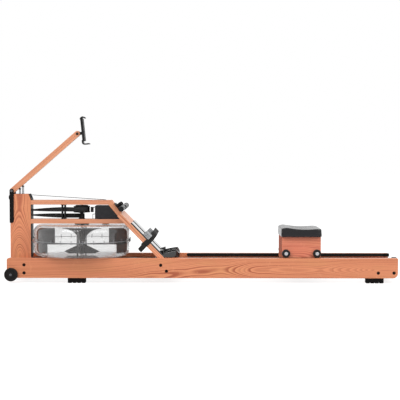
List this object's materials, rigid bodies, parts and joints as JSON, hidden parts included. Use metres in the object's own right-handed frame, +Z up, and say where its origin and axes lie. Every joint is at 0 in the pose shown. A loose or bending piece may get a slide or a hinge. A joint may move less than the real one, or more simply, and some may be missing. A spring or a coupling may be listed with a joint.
{
  "type": "water rowing machine",
  "caption": "Wooden water rowing machine: clear round water tank with a paddle rotor, belt-drawn handle, rolling seat, strapped foot rests, and a folding arm with a tablet holder.",
  "frame": {"origin": "on the floor, at the centre of the whole bounding box seen from above", "axes": "+X runs from the tank end to the seat end, +Y to the right of a rower, who faces the tank (away from the camera of the picture), +Z up"},
  "size_m": [2.1, 0.538, 0.8913],
  "materials": {
    "oak": "satin lacquer over straight and cathedral grain",
    "black_metal": "fine satin black powder coat",
    "bolt_steel": "brushed",
    "black_plastic": "matte moulded",
    "grey_plastic": "matte moulded",
    "track_black": "satin black anodised",
    "foot_rubber": "matte",
    "wheel_rubber": "satin",
    "grip_rubber": "satin",
    "gasket_rubber": "matte",
    "webbing": "woven",
    "belt_webbing": "tight flat weave",
    "cord": "braided cover",
    "clear_shell": "clear polycarbonate",
    "paddle_plastic": "moulded grey",
    "cushion_foam": "soft moulded skin"
  },
  "bodies": {
    "frame": {"rail_left": "oak", "rail_right": "oak", "track_left": "track_black", "track_right": "track_black", "track_stops": "foot_rubber", "front_crossmember": "oak", "middle_crossmember": "oak", "rear_crossmember": "oak", "frame_bolts": "black_metal", "rubber_feet": "foot_rubber", "tower_board_left": "oak", "tower_board_right": "oak", "tower_rear_plate": "black_metal", "arm_channel": "black_metal", "arm_props": "bolt_steel", "upper_bars": "oak", "lower_bars": "oak", "diagonals": "oak", "foot_plank": "oak", "foot_strap_left": "webbing", "foot_strap_right": "webbing", "strap_buckles": "grey_plastic", "tank_lower_shell": "clear_shell", "tank_upper_shell": "clear_shell", "tank_gasket": "gasket_rubber", "tank_screws": "bolt_steel", "tank_fill_plug": "black_plastic", "shaft_bearings": "black_plastic", "belt_guide": "black_plastic", "speed_sensor": "black_plastic", "sensor_module": "black_plastic", "drive_belt": "belt_webbing", "recoil_belt": "belt_webbing", "shock_cord": "cord", "axle_pins": "bolt_steel", "handle_rest": "black_metal", "belt_lead": "belt_webbing"},
    "rotor": {"paddle_rotor": "paddle_plastic", "rotor_shaft": "bolt_steel"},
    "drums": {"drive_drum": "black_plastic", "recoil_drum": "black_plastic"},
    "top_pulley": {"top_pulley_wheel": "black_plastic"},
    "deflector": {"deflector_pulley": "black_plastic"},
    "recoil_pulley": {"recoil_pulley_wheel": "black_plastic"},
    "cord_pulley": {"cord_pulley_wheel": "black_plastic"},
    "lead_roller": {"lead_roller_wheel": "black_plastic"},
    "handle": {"handle_bar": "black_metal", "handle_grips": "grip_rubber"},
    "seat": {"seat_panels": "oak", "seat_cushion": "cushion_foam"},
    "front_wheelset": {"seat_wheels_front": "wheel_rubber"},
    "rear_wheelset": {"seat_wheels_rear": "wheel_rubber"},
    "foot_rest_l": {"foot_rest_left": "black_plastic"},
    "foot_rest_r": {"foot_rest_right": "black_plastic"},
    "arm": {"tablet_arm": "oak"},
    "holder": {"holder_back": "black_plastic"},
    "jaw": {"holder_jaw": "black_plastic"},
    "knob": {"lock_knob": "black_plastic"},
    "wheel_left": {"transport_wheel_left": "wheel_rubber"},
    "wheel_right": {"transport_wheel_right": "wheel_rubber"}
  },
  "joints": [
    {"name": "handle_slide", "type": "slide", "parent": "frame", "child": "handle", "axis": [0.9945, 0, 0.1045], "range_m": [0, 1.25], "stiffness_N_per_m": 16, "springref_m": -0.8, "deforming": ["belt_lead"]},
    {"name": "drum_spin", "type": "hinge", "parent": "frame", "child": "drums", "pos_m": [-0.652, 0, 0], "axis": [0, 0, 1], "range_deg": [-1590, 0]},
    {"name": "rotor_spin", "type": "hinge", "parent": "frame", "child": "rotor", "pos_m": [-0.652, 0, 0], "axis": [0, 0, 1], "continuous": true},
    {"name": "top_pulley_spin", "type": "hinge", "parent": "frame", "child": "top_pulley", "pos_m": [-0.957, 0, 0.4425], "axis": [0, 1, 0], "range_deg": [0, 3050]},
    {"name": "deflector_spin", "type": "hinge", "parent": "frame", "child": "deflector", "pos_m": [-0.964, 0, 0.39655], "axis": [0, 1, 0], "range_deg": [0, 4340]},
    {"name": "recoil_pulley_spin", "type": "hinge", "parent": "frame", "child": "recoil_pulley", "pos_m": [-0.957, 0, 0.33845], "axis": [0, 1, 0], "range_deg": [0, 1470]},
    {"name": "cord_pulley_spin", "type": "hinge", "parent": "frame", "child": "cord_pulley", "pos_m": [-0.95955, 0, 0.135], "axis": [0, 1, 0], "range_deg": [0, 1730]},
    {"name": "lead_roller_spin", "type": "hinge", "parent": "frame", "child": "lead_roller", "pos_m": [-0.527, 0, 0.429], "axis": [0, 1, 0], "range_deg": [0, 7510]},
    {"name": "seat_slide", "type": "slide", "parent": "frame", "child": "seat", "axis": [1, 0, 0], "range_m": [-0.48, 0.38]},
    {"name": "front_wheels_spin", "type": "hinge", "parent": "seat", "child": "front_wheelset", "pos_m": [0.456, 0, 0.1553], "axis": [0, 1, 0], "range_deg": [-1300, 1000]},
    {"name": "rear_wheels_spin", "type": "hinge", "parent": "seat", "child": "rear_wheelset", "pos_m": [0.622, 0, 0.1553], "axis": [0, 1, 0], "range_deg": [-1300, 1000]},
    {"name": "foot_rest_left_slide", "type": "slide", "parent": "frame", "child": "foot_rest_l", "axis": [-0.6972, 0, 0.7169], "range_m": [0, 0.06]},
    {"name": "foot_rest_right_slide", "type": "slide", "parent": "frame", "child": "foot_rest_r", "axis": [-0.6972, 0, 0.7169], "range_m": [0, 0.06]},
    {"name": "arm_fold", "type": "hinge", "parent": "frame", "child": "arm", "pos_m": [-1.0295, 0, 0.487], "axis": [0, -1, 0], "range_deg": [0, 55]},
    {"name": "holder_tilt", "type": "hinge", "parent": "arm", "child": "holder", "pos_m": [-0.67436, 0, 0.7979], "axis": [0, 1, 0], "range_deg": [-25, 25]},
    {"name": "jaw_slide", "type": "slide", "parent": "holder", "child": "jaw", "axis": [-0.1011, 0, 0.9949], "range_m": [0, 0.07], "stiffness_N_per_m": 60, "springref_m": -0.05},
    {"name": "knob_turn", "type": "hinge", "parent": "frame", "child": "knob", "pos_m": [-1.041, 0, 0.45], "axis": [1, 0, 0], "range_deg": [0, 180]},
    {"name": "transport_wheel_left_spin", "type": "hinge", "parent": "frame", "child": "wheel_left", "pos_m": [-1.0105, -0.187, 0.046], "axis": [0, 1, 0], "continuous": true},
    {"name": "transport_wheel_right_spin", "type": "hinge", "parent": "frame", "child": "wheel_right", "pos_m": [-1.0105, 0.187, 0.046], "axis": [0, 1, 0], "continuous": true}
  ],
  "couplings": [
    {"joint": "drum_spin", "follows": "handle_slide", "rad_per_m": -22.099},
    {"joint": "top_pulley_spin", "follows": "handle_slide", "rad_per_m": 42.463},
    {"joint": "deflector_spin", "follows": "handle_slide", "rad_per_m": 60.423},
    {"joint": "recoil_pulley_spin", "follows": "handle_slide", "rad_per_m": 20.363},
    {"joint": "cord_pulley_spin", "follows": "handle_slide", "rad_per_m": 24.073},
    {"joint": "lead_roller_spin", "follows": "handle_slide", "rad_per_m": 104.71},
    {"joint": "front_wheels_spin", "follows": "seat_slide", "rad_per_m": 45.455},
    {"joint": "rear_wheels_spin", "follows": "seat_slide", "rad_per_m": 45.455}
  ]
}
